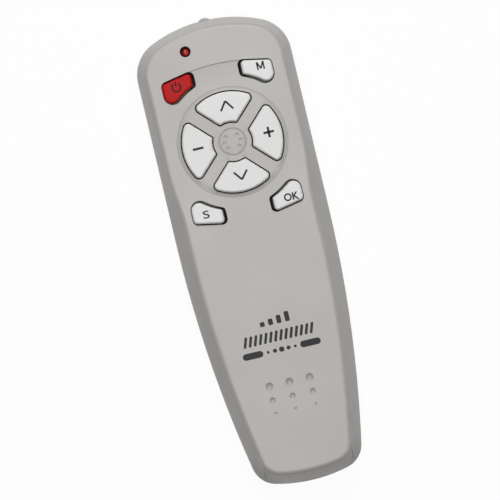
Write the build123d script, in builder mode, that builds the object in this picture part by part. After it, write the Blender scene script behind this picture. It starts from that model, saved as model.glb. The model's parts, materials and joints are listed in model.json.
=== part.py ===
from build123d import *
from math import atan2, cos, degrees, hypot, pi, radians, sin, sqrt
import os

# Hand-held infrared remote control: two moulded shells, a sliding battery door, eight rubber
# keys on one mat, a circuit board with its parts, and two AAA cells with their contacts.
# Millimetres. X runs across, +Y towards the infrared end (the head), +Z out of the key face.
# The origin is under the middle of the remote, on the surface that it rests on.

# Body
body_length = 149.2
body_width = 49.6
rear_depth = 11.0
front_depth = 9.5
wall = 2.0
overrun = 1.0
hidden_sides = 12

# Plan outline at the parting line
head_arc_radius = 44.0
head_corner_radius = 12.0
side_bend_from_head = 67.1
side_arc_radius = 390.0
tail_arc_radius = 48.0
tail_corner_radius = 8.0

# Plan outline of the key face, inside the sloping border
face_head_inset = 2.6
face_tail_inset = 4.1
face_side_inset = 3.2
face_waist_inset = 4.8
face_waist_start = 44.0
face_waist_end = 65.0
face_arc_radius = 370.0
face_head_corner_radius = 10.0
face_tail_corner_radius = 5.0
face_round = 1.1
face_round_steps = 4
face_inner_inset = 1.2
skirt_height = 1.6
rear_edge_radius = 5.0
rear_edge_steps = 6
rear_inner_edge_share = 0.65

# Joint between the two shells
lip_height = 1.2
lip_clearance = 0.12
parting_chamfer = 0.25

# Key pad, as wide as the face allows
pad_from_side = 7.3
pad_rim = 1.1
pad_rise = 0.4
key_ring_inner = 6.05
spoke_width = 3.8
ring_key_outer_corner = 1.8
ring_key_inner_corner = 1.1
ring_key_gap = 0.4
hub_radius = 4.0
hub_groove_width = 0.45
hub_groove_depth = 0.25
hub_dimple_circle = 2.6
hub_dimple_radius = 0.62
hub_dimple_depth = 0.22
dimple_draft = 35.0
hub_dimple_angles = [0, 45, 135, 180, 225, 315]

# Corner keys, whose edges lie past the rim of the key pad
corner_key_from_head = 14.45
corner_key_inner_x = 7.1
corner_key_side_past_pad = 0.45
corner_key_arc_past_pad = 3.4
corner_key_inner_past_pad = 7.55
corner_key_outer_past_pad = 5.45
corner_key_radius_inner_top = 1.7
corner_key_radius_outer_top = 1.8
corner_key_radius_outer_low = 3.0
corner_key_radius_inner_low = 1.2
corner_key_gap = 0.5
corner_key_lean = 0.28

# Keys, rubber webs, contact pills and mat
key_proud = 1.2
ring_key_proud = 1.5
key_edge = 0.5
key_travel = 1.0
board_drop = 6.5
mat_thickness = 1.0
mat_margin = 0.9
mat_corner = 3.0
peg_radius = 1.2
peg_clearance = 0.2
peg_past_pad = 4.0
web_rise = 1.2
web_thickness = 0.35
web_flare = 0.9
web_corner = 2.0
web_outer_sides = 3
pill_radius = 1.4
pill_clearance = 0.1

# Moulded details of the face
scoop_from_head = 14.25
scoop_fade = 7.0
scoop_arc_radius = 58.0
scoop_half_width = 8.0
scoop_depth = 0.4
grip_pitch_x = 6.5
grip_from_head = [117.3, 121.8, 126.0]
grip_radii = [1.3, 1.0, 0.5]
grip_depths = [0.5, 0.4, 0.22]
rib_thickness = 1.2
rib_half_width = 11.0
rib_clearance = 0.2
rib_shares = [0.2, 0.5, 0.8]

# Indicator lamp
indicator_x = -8.0
indicator_from_head = 8.4
indicator_hole_radius = 1.72
lamp_radius = 1.5
lamp_flange_radius = 1.9
lamp_flange = 1.0
lamp_length = 5.3
indicator_recess = 0.3
lead_pitch = 2.54
lead_size = 0.5
lead_hole_radius = 0.45
lead_stub = 0.5

# Infrared emitter and learning receiver, both looking out of the head
emitter_proud = 0.8
emitter_radius = 2.5
emitter_flange_radius = 2.9
emitter_flange = 1.0
emitter_length = 8.6
emitter_clearance = 0.15
receiver_x = 9.0
receiver_drop = 2.4
receiver_recess = 2.2
receiver_clearance = 0.15
receiver_edge = 0.6
lead_run = 2.4

# Circuit board
board_thickness = 1.6
board_margin = 4.2
board_past_screws = 3.2
notch_clearance = 0.5
board_screw_from_side = 9.0
board_screw_from_head = 9.0
boss_past_mat = 0.5
boss_radius = 2.3
screw_radius = 0.95
screw_clearance = 0.05
board_screw_length = 4.6
screw_head_radius = 2.0
screw_head_height = 1.3
screw_head_clearance = 0.2
screw_slot_width = 0.5
screw_slot_depth = 0.6
board_hole_radius = 1.25
track_thickness = 0.05
track_length = 3.2
track_width = 1.3
track_gap = 0.5

# Cells, bay and contacts
cell_diameter = 10.5
cell_length = 44.5
cell_nub_radius = 1.9
cell_nub_height = 0.8
cell_edge = 0.5
cell_gap = 0.2
bay_wall = 1.0
bay_from_head = 83.2
bay_rib_thickness = 0.8
bay_rib_height = 2.0
contact_thickness = 0.4
contact_width = 8.0
contact_height = 8.0
contact_tab_width = 2.4
contact_landing = 2.0
contact_play = 0.1
spring_length = 4.2
spring_base_radius = 3.2
spring_tip_radius = 2.2
spring_wire_radius = 0.27
spring_half_turns = 5
spring_wire_sides = 4
coil_step = 0.05
coil_samples = 24

# Screw posts that join the shells, inside the door opening
post_wall = 1.0
post_floor = 2.0
post_height = 6.0
case_screw_length = 7.0

# Battery door
door_gap = 0.15
door_side_margin = 2.7
door_past_bay = 6.0
door_top = 7.5
ledge_thickness = 1.2
ledge_overlap = 1.2
hook_thickness = 1.0
hook_reach = 1.2
hook_length = 5.0
hook_clearance = 0.15
hook_shares = [0.12, 0.74]
door_travel = 8.0
tongue_half_width = 6.0
tongue_reach = 1.0
tongue_thickness = 0.75
ridge_count = 6
ridge_pitch = 2.0
ridge_length = 15.0
ridge_width = 1.0
ridge_depth = 0.45
ridge_from_door_end = 7.0

# Parts on the underside of the board
chip_length = 12.8
chip_width = 7.5
chip_height = 2.3
chip_lead_count = 10
chip_past_pad = 1.5
memory_length = 5.0
memory_width = 4.0
memory_height = 1.6
memory_lead_count = 4
memory_x = 11.0
memory_past_pad = 12.5
chip_lead_pitch = 1.27
chip_lead_width = 0.45
chip_lead_reach = 1.4
chip_lead_thickness = 0.3
chip_draft = 8.0
resonator_length = 7.5
resonator_width = 3.0
resonator_height = 5.5
resonator_x = -11.0
resonator_past_pad = 10.5
capacitor_radius = 2.5
capacitor_length = 7.0
capacitor_x = -10.0
capacitor_from_tail = 9.85
capacitor_edge = 0.4
transistor_length = 2.9
transistor_width = 1.5
transistor_height = 1.1
transistor_x = 6.0
transistor_past_pad = 19.5
chip_part_length = 2.0
chip_part_width = 1.25
chip_part_height = 0.6
resistor_count = 5
resistor_pitch = 3.2
resistor_past_pad = 13.5
small_capacitor_count = 3
small_capacitor_pitch = 4.0
small_capacitor_from_tail = 5.85

# Places worked out from the sizes above
head_y = (body_length - emitter_proud) / 2
tail_y = head_y - body_length
parting_z = rear_depth
skirt_top_z = parting_z + skirt_height
face_z = parting_z + front_depth
inside_z = face_z - wall
pad_radius = body_width / 2 - pad_from_side
key_ring_outer = pad_radius - pad_rim
corner_key_outer_x = pad_radius + corner_key_side_past_pad
corner_key_arc = pad_radius + corner_key_arc_past_pad
corner_key_top_inner = pad_radius + corner_key_inner_past_pad
corner_key_top_outer = pad_radius + corner_key_outer_past_pad
pad_y = head_y - corner_key_from_head - corner_key_top_inner
board_top_z = face_z - board_drop
board_low_z = board_top_z - board_thickness
mat_top_z = board_top_z + mat_thickness
key_low_z = mat_top_z + web_rise
pill_low_z = board_top_z + key_travel + pill_clearance
indicator_y = head_y - indicator_from_head
emitter_z = parting_z
emitter_back_y = head_y + emitter_proud - emitter_length
receiver_z = parting_z - receiver_drop
cell_x = (cell_diameter + cell_gap) / 2
cell_z = wall + cell_gap + cell_diameter / 2
bay_half_width = cell_diameter + cell_gap * 3 / 2
bay_top_z = cell_z + cell_diameter / 2 + cell_gap
bay_head_y = head_y - bay_from_head
bay_length = cell_length + spring_length + 2 * contact_thickness + 2 * contact_play
bay_tail_y = bay_head_y - bay_length
door_head_y = bay_head_y + door_past_bay
door_half_width = bay_half_width + bay_wall + door_side_margin
door_thickness = wall - door_gap
ledge_top_z = wall + ledge_thickness
hook_x = bay_half_width + bay_wall + 2 * hook_clearance
hook_top_z = ledge_top_z + hook_clearance + hook_thickness
hook_places = [bay_head_y - share * bay_length for share in hook_shares]
tongue_low_z = door_thickness - tongue_thickness
post_radius = screw_head_radius + screw_head_clearance + post_wall
post_top_z = wall + post_height
post_from_bay = post_radius + bay_wall / 2
case_screw_places = [(0, bay_head_y + post_from_bay), (0, bay_tail_y - post_from_bay)]
mat_overlap = web_flare - corner_key_gap + mat_margin
mat_half_width = corner_key_outer_x + corner_key_lean + mat_overlap
mat_half_length = corner_key_top_inner + mat_overlap
peg_places = [(0, pad_y + side * (pad_radius + peg_past_pad)) for side in (1, -1)]
board_screw_x = body_width / 2 - board_screw_from_side
board_screw_head_y = head_y - board_screw_from_head
board_screw_tail_y = pad_y - mat_half_length - boss_past_mat - boss_radius
board_tail_y = board_screw_tail_y - board_past_screws
board_screw_places = [
    (side * board_screw_x, y) for y in (board_screw_head_y, board_screw_tail_y) for side in (-1, 1)
]

os.makedirs("parts", exist_ok=True)


def save(piece, name):
    """Label a finished piece and write its file."""
    piece.part.label = name
    export_step(piece.part, f"parts/{name}.step")


def arcs_meet(center_a, radius_a, center_b, radius_b):
    """The crossing of two circles that lies nearest the tail."""
    ax, ay = center_a
    bx, by = center_b
    apart = hypot(bx - ax, by - ay)
    along = (radius_a**2 - radius_b**2 + apart**2) / (2 * apart)
    aside = sqrt(radius_a**2 - along**2)
    ux, uy = (bx - ax) / apart, (by - ay) / apart
    one = (ax + along * ux - aside * uy, ay + along * uy + aside * ux)
    two = (ax + along * ux + aside * uy, ay + along * uy - aside * ux)
    return min(one, two, key=lambda point: point[1])


def between(center, radius, start, end):
    """The point half way round the arc from start to end."""
    one = atan2(start[1] - center[1], start[0] - center[0])
    two = atan2(end[1] - center[1], end[0] - center[0])
    middle = (one + two) / 2
    return (center[0] + radius * cos(middle), center[1] + radius * sin(middle))


def plan(share=0, inset=0):
    """Plan of the remote: a bowed head, straight sides and a long taper to a bowed tail.
    share is 0 at the body's edge and 1 at the edge of the key face, whose sides step in at a
    waist. inset moves the whole edge inwards."""
    half = body_width / 2 - share * face_side_inset - inset
    waist_half = body_width / 2 - share * face_waist_inset - inset
    head = head_y - share * face_head_inset - inset
    tail = tail_y + share * face_tail_inset + inset
    waist_top_y, waist_low_y = head_y - face_waist_start, head_y - face_waist_end
    bend = (waist_half, head_y - side_bend_from_head)
    head_arc, tail_arc = head_arc_radius - inset, tail_arc_radius - inset
    side_arc = side_arc_radius + share * (face_arc_radius - side_arc_radius) - inset
    head_center, tail_center = (0, head - head_arc), (0, tail + tail_arc)
    side_center = (waist_half - side_arc, bend[1])
    head_point = (half, head_center[1] + sqrt(head_arc**2 - half**2))
    tail_point = arcs_meet(side_center, side_arc, tail_center, tail_arc)
    waist_middle = ((half + waist_half) / 2, (waist_top_y + waist_low_y) / 2)
    with BuildSketch() as outline:
        with BuildLine():
            ThreePointArc((0, head), between(head_center, head_arc, (0, head), head_point), head_point)
            Line(head_point, (half, waist_top_y))
            if half > waist_half:
                TangentArc((half, waist_top_y), waist_middle, tangent=(0, -1))
                TangentArc((waist_half, waist_low_y), waist_middle, tangent=(0, 1))
            else:
                Line((half, waist_top_y), waist_middle)
                Line(waist_middle, (half, waist_low_y))
            Line((waist_half, waist_low_y), bend)
            ThreePointArc(bend, between(side_center, side_arc, bend, tail_point), tail_point)
            ThreePointArc(tail_point, between(tail_center, tail_arc, (0, tail), tail_point), (0, tail))
            mirror(about=Plane.YZ)
        make_face()
        for (x, y), outer, inner in (
            (head_point, head_corner_radius, face_head_corner_radius),
            (tail_point, tail_corner_radius, face_tail_corner_radius),
        ):
            radius = outer + share * (inner - outer) - inset
            corners = outline.vertices()
            fillet([corners.sort_by_distance((side * x, y))[0] for side in (-1, 1)], radius)
    return outline.sketch


def ring_key_corners(inset):
    """Outer and inner corner of the ring key on the +X side, and the rise of the spoke's edge."""
    outer, inner = key_ring_outer - inset, key_ring_inner + inset
    step = spoke_width / sqrt(2) + inset * sqrt(2)
    outer_x = (sqrt(2 * outer**2 - step**2) - step) / 2
    inner_x = (sqrt(2 * inner**2 - step**2) - step) / 2
    return (outer_x, outer_x + step), (inner_x, inner_x + step)


def ring_key_plan(inset):
    """The key towards the head, a piece of a ring between two spokes, or its hole (no inset)."""
    (outer_x, outer_y), (inner_x, inner_y) = ring_key_corners(inset)
    with BuildSketch() as plan:
        with BuildLine():
            ThreePointArc((-outer_x, outer_y), (0, key_ring_outer - inset), (outer_x, outer_y))
            Line((outer_x, outer_y), (inner_x, inner_y))
            ThreePointArc((inner_x, inner_y), (0, key_ring_inner + inset), (-inner_x, inner_y))
            Line((-inner_x, inner_y), (-outer_x, outer_y))
        make_face()
        for corner in ((outer_x, outer_y), (-outer_x, outer_y)):
            fillet(plan.vertices().sort_by_distance(corner)[0], ring_key_outer_corner - inset)
        for corner in ((inner_x, inner_y), (-inner_x, inner_y)):
            fillet(plan.vertices().sort_by_distance(corner)[0], ring_key_inner_corner - inset)
    return plan.sketch


def corner_key_corners(inset):
    """Corners of the corner key at the head end on +X, from the top inner one outwards."""
    inner_x, outer_x = corner_key_inner_x + inset, corner_key_outer_x - inset
    slope = (corner_key_top_inner - corner_key_top_outer) / (corner_key_outer_x - corner_key_inner_x)
    top_y = corner_key_top_inner - inset * (slope + sqrt(1 + slope**2))
    arc = corner_key_arc + inset
    return [
        (inner_x, top_y),
        (outer_x, top_y - slope * (outer_x - inner_x)),
        (outer_x, sqrt(arc**2 - outer_x**2)),
        (inner_x, sqrt(arc**2 - inner_x**2)),
    ]


def corner_key_plan(inset):
    """The key at the head end on +X, about the middle of the key pad, or its hole (no inset)."""
    top_inner, top_outer, low_outer, low_inner = corner_key_corners(inset)
    with BuildSketch() as plan:
        with BuildLine():
            Line(top_inner, top_outer)
            Line(top_outer, low_outer)
            middle = between((0, 0), corner_key_arc + inset, low_outer, low_inner)
            ThreePointArc(low_outer, middle, low_inner)
            Line(low_inner, top_inner)
        make_face()
        for corner, radius in (
            (top_inner, corner_key_radius_inner_top),
            (top_outer, corner_key_radius_outer_top),
            (low_outer, corner_key_radius_outer_low),
            (low_inner, corner_key_radius_inner_low),
        ):
            fillet(plan.vertices().sort_by_distance(corner)[0], radius - inset)
    return plan.sketch


def straight_plan(corners, cut):
    """A straight-sided figure with its corners cut off. The corners are given clockwise."""
    with BuildSketch() as figure:
        with BuildLine():
            Polyline(*reversed(corners), close=True)
        make_face()
        chamfer(figure.vertices(), cut)
    return figure.sketch


# The middle of a ring key and of a corner key, from the middle of the pad
ring_middle = (key_ring_outer + key_ring_inner) / 2
corner_middle_x = (corner_key_inner_x + corner_key_outer_x) / 2 + corner_key_lean
corner_top_y = (corner_key_top_inner + corner_key_top_outer) / 2
corner_middle_y = (corner_top_y + sqrt(corner_key_arc**2 - corner_middle_x**2)) / 2


class KeyPlace:
    """One key: its shape, where it stands on the pad and how far it stands out."""

    def __init__(self, name, angle=None, sides=None):
        self.name = name
        self.angle = angle
        self.sides = sides
        if angle is None:
            self.gap, self.proud = corner_key_gap, key_proud
            self.middle = (sides[0] * corner_middle_x, pad_y + sides[1] * corner_middle_y)
        else:
            self.gap, self.proud = ring_key_gap, ring_key_proud
            turn = radians(angle)
            self.middle = (-ring_middle * sin(turn), pad_y + ring_middle * cos(turn))

    def placed(self, plan, lean=1):
        """A plan taken to this key's place. Corner keys lean outwards in their holes."""
        if self.angle is not None:
            return Location((0, pad_y, 0), (0, 0, self.angle)) * plan
        if self.sides[0] < 0:
            plan = mirror(plan, about=Plane.YZ, mode=Mode.PRIVATE)
        if self.sides[1] < 0:
            plan = mirror(plan, about=Plane.XZ, mode=Mode.PRIVATE)
        return Location((self.sides[0] * corner_key_lean * lean, pad_y, 0)) * plan

    def hole(self):
        """The plan of the hole in the face."""
        return self.placed(corner_key_plan(0) if self.angle is None else ring_key_plan(0), lean=0)

    def cap(self):
        """The plan of the key, smaller than its hole by the gap round it."""
        return self.placed(corner_key_plan(self.gap) if self.angle is None else ring_key_plan(self.gap))

    def web(self, inset):
        """The plan of the rubber wall round the key's foot, with its edge moved inwards."""
        if self.angle is None:
            return self.placed(straight_plan(corner_key_corners(self.gap + inset), web_corner))
        (outer_x, outer_y), (inner_x, inner_y) = ring_key_corners(self.gap + inset)
        bend = atan2(*ring_key_corners(self.gap)[0]) / web_outer_sides
        arc = key_ring_outer - self.gap - inset
        bend_x, bend_y = arc * sin(bend), arc * cos(bend)
        outer_side = [(-outer_x, outer_y), (-bend_x, bend_y), (bend_x, bend_y), (outer_x, outer_y)]
        return self.placed(straight_plan(outer_side + [(inner_x, inner_y), (-inner_x, inner_y)], web_corner))


keys = [
    KeyPlace("power", sides=(-1, 1)),
    KeyPlace("mode", sides=(1, 1)),
    KeyPlace("set", sides=(-1, -1)),
    KeyPlace("ok", sides=(1, -1)),
    KeyPlace("up", angle=0),
    KeyPlace("minus", angle=90),
    KeyPlace("down", angle=180),
    KeyPlace("plus", angle=270),
]


# Body of the remote without its hollow, below the parting line: its rounded lower edge is
# a stack of plans that follow a quarter of a circle
with BuildPart() as rear_block:
    for number in range(rear_edge_steps + 1):
        angle = radians(90 * number / rear_edge_steps)
        with BuildSketch(Plane.XY.offset(rear_edge_radius * (1 - cos(angle)))):
            add(plan(inset=rear_edge_radius * (1 - sin(angle))))
    loft(ruled=True)
    with BuildSketch(Plane.XY.offset(rear_edge_radius)):
        add(plan())
    extrude(amount=rear_depth - rear_edge_radius)
    chamfer(rear_block.faces().sort_by(Axis.Z)[-1].outer_wire().edges(), parting_chamfer)


def rear_hollow(thickness):
    """The space inside a rear cover whose wall is this thick."""
    with BuildPart() as hollow:
        with BuildSketch(Plane.XY.offset(thickness)):
            add(plan(inset=thickness))
        extrude(amount=rear_depth - thickness + overrun)
        edge = (rear_edge_radius - thickness) * rear_inner_edge_share
        chamfer(hollow.faces().sort_by(Axis.Z)[0].outer_wire().edges(), edge)
    return hollow.part


def door_zone(gap):
    """The room that the battery door takes, less a gap: the floor and the end of the tail."""
    reach = rear_edge_radius + tail_corner_radius
    half = door_half_width - gap
    with BuildPart() as zone:
        with BuildSketch(Plane.XY.offset(-overrun)):
            with Locations((0, door_head_y - gap)):
                Rectangle(2 * half, body_length, align=(Align.CENTER, Align.MAX))
        extrude(amount=overrun + wall)
        with BuildSketch(Plane.XY.offset(-overrun)):
            with Locations((0, tail_y + reach - gap)):
                Rectangle(2 * half, reach + overrun, align=(Align.CENTER, Align.MAX))
        extrude(amount=overrun + door_top - gap)
    return zone.part


# Sunken band above the key pad: a step along an arc that fades out towards the pad
with BuildPart() as scoop:
    with BuildSketch(Plane.YZ):
        with BuildLine():
            step_y = head_y - scoop_from_head
            Polyline(
                (step_y, face_z + overrun),
                (step_y, face_z - scoop_depth),
                (step_y - scoop_fade, face_z),
                (step_y - scoop_fade, face_z + overrun),
                close=True,
            )
        make_face()
    extrude(amount=scoop_half_width, both=True)
    with BuildSketch(Plane.XY.offset(inside_z)):
        with Locations((0, step_y - scoop_arc_radius)):
            Circle(scoop_arc_radius)
    extrude(amount=wall + 2 * overrun, mode=Mode.INTERSECT)


def dish(radius, depth, top_z):
    """Place a ball so that it cuts a round dimple of this radius and depth below top_z."""
    ball = (radius**2 + depth**2) / (2 * depth)
    return Sphere(ball, mode=Mode.PRIVATE).moved(Location((0, 0, top_z + ball - depth), (90, 0, 0)))


# Front shell: sloping border, raised key pad, holes, scoop, grip dimples, bosses and ribs
with BuildPart() as front_shell:
    with BuildSketch(Plane.XY.offset(parting_z)):
        add(plan())
    extrude(amount=skirt_height)
    chamfer(front_shell.faces().sort_by(Axis.Z)[0].outer_wire().edges(), parting_chamfer)
    # the border slopes up to the face and rounds into it along a curve drawn in steps
    with BuildSketch(Plane.XY.offset(skirt_top_z)):
        add(plan())
    border_slope = hypot(face_side_inset, face_z - skirt_top_z)
    for number in range(face_round_steps + 1):
        passed = number / face_round_steps
        left = (1 - passed) ** 2 * face_round / border_slope
        with BuildSketch(Plane.XY.offset(face_z - left * (face_z - skirt_top_z))):
            add(plan(1 - left, passed**2 * face_round))
    loft(ruled=True)
    with Locations((0, pad_y, face_z)):
        Cone(pad_radius, pad_radius - pad_rim, pad_rise, align=(Align.CENTER, Align.CENTER, Align.MIN))
    with BuildSketch(Plane.XY.offset(parting_z)):
        add(plan(inset=wall))
    extrude(amount=skirt_height, mode=Mode.SUBTRACT)
    with BuildSketch(Plane.XY.offset(skirt_top_z)):
        add(plan(inset=wall))
    with BuildSketch(Plane.XY.offset(inside_z)):
        add(plan(1, face_inner_inset))
    loft(mode=Mode.SUBTRACT)
    # lip that drops into the rear cover
    with BuildSketch(Plane.XY.offset(parting_z - lip_height)):
        add(plan(inset=wall / 2))
        add(plan(inset=wall), mode=Mode.SUBTRACT)
    extrude(amount=lip_height + parting_chamfer)
    # bosses for the board screws and the case screws, sunk half a wall into the face
    for places, low_z, depth in (
        (board_screw_places, board_top_z, board_screw_length - board_thickness),
        (case_screw_places, post_top_z, case_screw_length - post_floor),
    ):
        with BuildSketch(Plane.XY.offset(low_z)):
            with Locations(*places):
                RegularPolygon(boss_radius, hidden_sides)
        extrude(amount=inside_z + wall / 2 - low_z)
        with BuildSketch(Plane.XY.offset(low_z)):
            with Locations(*places):
                RegularPolygon(screw_radius + screw_clearance, hidden_sides)
        extrude(amount=depth + screw_clearance, mode=Mode.SUBTRACT)
    # pegs that pass through the rubber mat and rest on the board
    with BuildSketch(Plane.XY.offset(board_top_z)):
        with Locations(*peg_places):
            RegularPolygon(peg_radius, hidden_sides)
    extrude(amount=inside_z + wall / 2 - board_top_z)
    # ribs over the battery bay
    with BuildSketch(Plane.XY.offset(bay_top_z + bay_wall + rib_clearance)):
        for share in rib_shares:
            with Locations((0, bay_head_y - share * bay_length)):
                Rectangle(2 * rib_half_width, rib_thickness)
    extrude(until=Until.NEXT)
    # holes for the keys, the indicator, the emitter and the receiver
    with BuildSketch(Plane.XY.offset(inside_z - overrun)):
        for key in keys:
            add(key.hole())
        with Locations((indicator_x, indicator_y)):
            Circle(indicator_hole_radius)
    extrude(amount=wall + pad_rise + 2 * overrun, mode=Mode.SUBTRACT)
    with BuildSketch(Plane.XZ.offset(-head_y - overrun)):
        with Locations((0, emitter_z)):
            Circle(emitter_radius + emitter_clearance)
        with Locations((receiver_x, receiver_z)):
            Circle(lamp_radius + receiver_clearance)
    extrude(amount=overrun + board_margin, mode=Mode.SUBTRACT)
    # groove and dimples of the hub, the scoop and the grip dimples
    with BuildSketch(Plane.XY.offset(face_z + pad_rise)):
        with Locations((0, pad_y)):
            Circle(hub_radius + hub_groove_width)
            Circle(hub_radius, mode=Mode.SUBTRACT)
    extrude(amount=-hub_groove_depth, mode=Mode.SUBTRACT)
    add(scoop.part, mode=Mode.SUBTRACT)
    with BuildSketch(Plane.XY.offset(face_z + pad_rise)):
        for angle in hub_dimple_angles:
            turn = radians(angle)
            with Locations((hub_dimple_circle * cos(turn), pad_y + hub_dimple_circle * sin(turn))):
                RegularPolygon(hub_dimple_radius, hidden_sides)
    extrude(amount=-hub_dimple_depth, taper=dimple_draft, mode=Mode.SUBTRACT)
    for distance, radius, depth in zip(grip_from_head, grip_radii, grip_depths):
        spot = dish(radius, depth, face_z)
        for column in (-1, 0, 1):
            place = (column * grip_pitch_x, head_y - distance, 0)
            add(spot.moved(Location(place)), mode=Mode.SUBTRACT)
save(front_shell, "front_shell")


# Rear cover: curved tray with the battery bay, the door ledge and two screw posts
with BuildPart() as rear_cover:
    add(rear_block.part)
    add(rear_hollow(wall), mode=Mode.SUBTRACT)
    with BuildSketch(Plane.XY.offset(parting_z - lip_height - lip_clearance)):
        add(plan(inset=wall / 2 - lip_clearance))
    extrude(amount=lip_height + lip_clearance + overrun, mode=Mode.SUBTRACT)
    add(door_zone(0), mode=Mode.SUBTRACT)
    # ledge that the door lies against, clear of the door's tail wall
    with BuildSketch(Plane.XY.offset(wall)):
        with Locations((0, door_head_y + ledge_overlap)):
            Rectangle(2 * (door_half_width + ledge_overlap), body_length, align=(Align.CENTER, Align.MAX))
        add(plan(inset=rear_edge_radius), mode=Mode.INTERSECT)
    extrude(amount=ledge_thickness)
    # slots where the hooks of the door go in, then slide under the ledge
    with BuildSketch(Plane.XY.offset(wall - overrun)):
        for side in (-1, 1):
            for y in hook_places:
                reach = hook_length / 2 + hook_clearance
                narrow = hook_thickness + 2 * hook_clearance
                wide = narrow + hook_reach
                with Locations((side * (hook_x - hook_clearance + narrow / 2), y + reach)):
                    Rectangle(narrow, 2 * reach + door_travel, align=(Align.CENTER, Align.MAX))
                with Locations((side * (hook_x - hook_clearance + wide / 2), y - door_travel)):
                    Rectangle(wide, 2 * reach)
    extrude(amount=overrun + ledge_thickness, mode=Mode.SUBTRACT)
    # groove for the tongue at the end of the door
    with BuildSketch(Plane.XY.offset(tongue_low_z - door_gap)):
        with Locations((0, door_head_y + tongue_reach)):
            Rectangle(
                2 * (tongue_half_width + door_gap),
                2 * tongue_reach,
                align=(Align.CENTER, Align.MAX),
            )
    extrude(amount=wall - tongue_low_z + door_gap, mode=Mode.SUBTRACT)
    # bay walls and ceiling, screw posts
    with BuildSketch(Plane.XY.offset(wall)):
        with Locations((0, (bay_head_y + bay_tail_y) / 2)):
            Rectangle(2 * (bay_half_width + bay_wall), bay_length + 2 * bay_wall)
    extrude(amount=bay_top_z + bay_wall - wall)
    with BuildSketch(Plane.XY.offset(wall)):
        with Locations(*case_screw_places):
            RegularPolygon(post_radius, hidden_sides)
    extrude(amount=post_height)
    with BuildSketch(Plane.XY.offset(wall - overrun)):
        with Locations((0, (bay_head_y + bay_tail_y) / 2)):
            Rectangle(2 * bay_half_width, bay_length)
    extrude(amount=bay_top_z - wall + overrun, mode=Mode.SUBTRACT)
    with BuildSketch(Plane.XY.offset(bay_top_z)):
        with Locations((0, (bay_head_y + bay_tail_y) / 2)):
            Rectangle(bay_rib_thickness, bay_length - 4 * contact_play - 2 * contact_thickness)
    extrude(amount=-bay_rib_height)
    # slots in the head wall of the bay for the contact tabs
    with BuildSketch(Plane.XZ.offset(-bay_head_y - bay_wall - overrun)):
        for side in (-1, 1):
            with Locations((side * cell_x, board_low_z - contact_thickness / 2)):
                Rectangle(contact_tab_width + 2 * contact_play, contact_thickness + 2 * contact_play)
    extrude(amount=bay_wall + 2 * overrun, mode=Mode.SUBTRACT)
    # counterbored holes of the posts
    with BuildSketch(Plane.XY.offset(wall - overrun)):
        with Locations(*case_screw_places):
            RegularPolygon(screw_head_radius + screw_head_clearance, hidden_sides)
    extrude(amount=overrun + post_height - post_floor, mode=Mode.SUBTRACT)
    with BuildSketch(Plane.XY.offset(wall)):
        with Locations(*case_screw_places):
            RegularPolygon(screw_radius + screw_clearance, hidden_sides)
    extrude(amount=post_height + overrun, mode=Mode.SUBTRACT)
    # openings for the emitter and the receiver
    with BuildSketch(Plane.XZ.offset(-head_y - overrun)):
        with Locations((0, emitter_z)):
            Circle(emitter_radius + emitter_clearance)
        with Locations((receiver_x, receiver_z)):
            Circle(lamp_radius + receiver_clearance)
    extrude(amount=overrun + board_margin, mode=Mode.SUBTRACT)
save(rear_cover, "rear_cover")


# Battery door: a piece of the tray with its tail end, four hooks, a tongue and finger ridges
with BuildPart() as battery_door:
    add(rear_block.part)
    add(rear_hollow(door_thickness), mode=Mode.SUBTRACT)
    add(door_zone(door_gap), mode=Mode.INTERSECT)
    with BuildSketch(Plane.XY.offset(wall / 2)):
        for side in (-1, 1):
            for y in hook_places:
                with Locations((side * (hook_x + hook_thickness / 2), y)):
                    Rectangle(hook_thickness, hook_length)
    extrude(amount=hook_top_z - wall / 2)
    with BuildSketch(Plane.XY.offset(hook_top_z - hook_thickness)):
        for side in (-1, 1):
            for y in hook_places:
                with Locations((side * (hook_x + (hook_thickness + hook_reach) / 2), y)):
                    Rectangle(hook_thickness + hook_reach, hook_length)
    extrude(amount=hook_thickness)
    with BuildSketch(Plane.XY.offset(tongue_low_z)):
        with Locations((0, door_head_y - door_gap + tongue_reach)):
            Rectangle(2 * tongue_half_width, 2 * tongue_reach, align=(Align.CENTER, Align.MAX))
    extrude(amount=tongue_thickness)
    with BuildSketch(Plane.XY):
        for number in range(ridge_count):
            with Locations((0, door_head_y - ridge_from_door_end - number * ridge_pitch)):
                Rectangle(ridge_length, ridge_width)
    extrude(amount=ridge_depth, mode=Mode.SUBTRACT)
save(battery_door, "battery_door")


# Keys: caps that stand out of their holes, each with a carbon pill and a springy rubber wall
for key in keys:
    with BuildPart() as cap:
        with BuildSketch(Plane.XY.offset(key_low_z)):
            add(key.cap())
        extrude(amount=face_z + key.proud - key_low_z)
        chamfer(cap.faces().sort_by(Axis.Z)[-1].outer_wire().edges(), key_edge)
    save(cap, f"{key.name}_key")

    with BuildPart() as pill:
        with BuildSketch(Plane.XY.offset(key_low_z)):
            with Locations(key.middle):
                RegularPolygon(pill_radius, hidden_sides)
        extrude(amount=pill_low_z - key_low_z)
    save(pill, f"{key.name}_pill")

    with BuildPart() as web:
        for inset, mode in ((0, Mode.ADD), (web_thickness, Mode.SUBTRACT)):
            with BuildSketch(Plane.XY.offset(mat_top_z)):
                add(key.web(inset - web_flare))
            extrude(amount=web_rise, taper=degrees(atan2(web_flare, web_rise)), mode=mode)
    save(web, f"{key.name}_web")


# Rubber mat: one sheet under all the keys
with BuildPart() as keypad_mat:
    with BuildSketch(Plane.XY.offset(board_top_z)):
        with Locations((0, pad_y)):
            RectangleRounded(2 * mat_half_width, 2 * mat_half_length, mat_corner)
        for key in keys:
            add(key.web(web_thickness - web_flare), mode=Mode.SUBTRACT)
        with Locations(*peg_places):
            RegularPolygon(peg_radius + peg_clearance, hidden_sides, mode=Mode.SUBTRACT)
    extrude(amount=mat_thickness)
save(keypad_mat, "keypad_mat")


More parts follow.
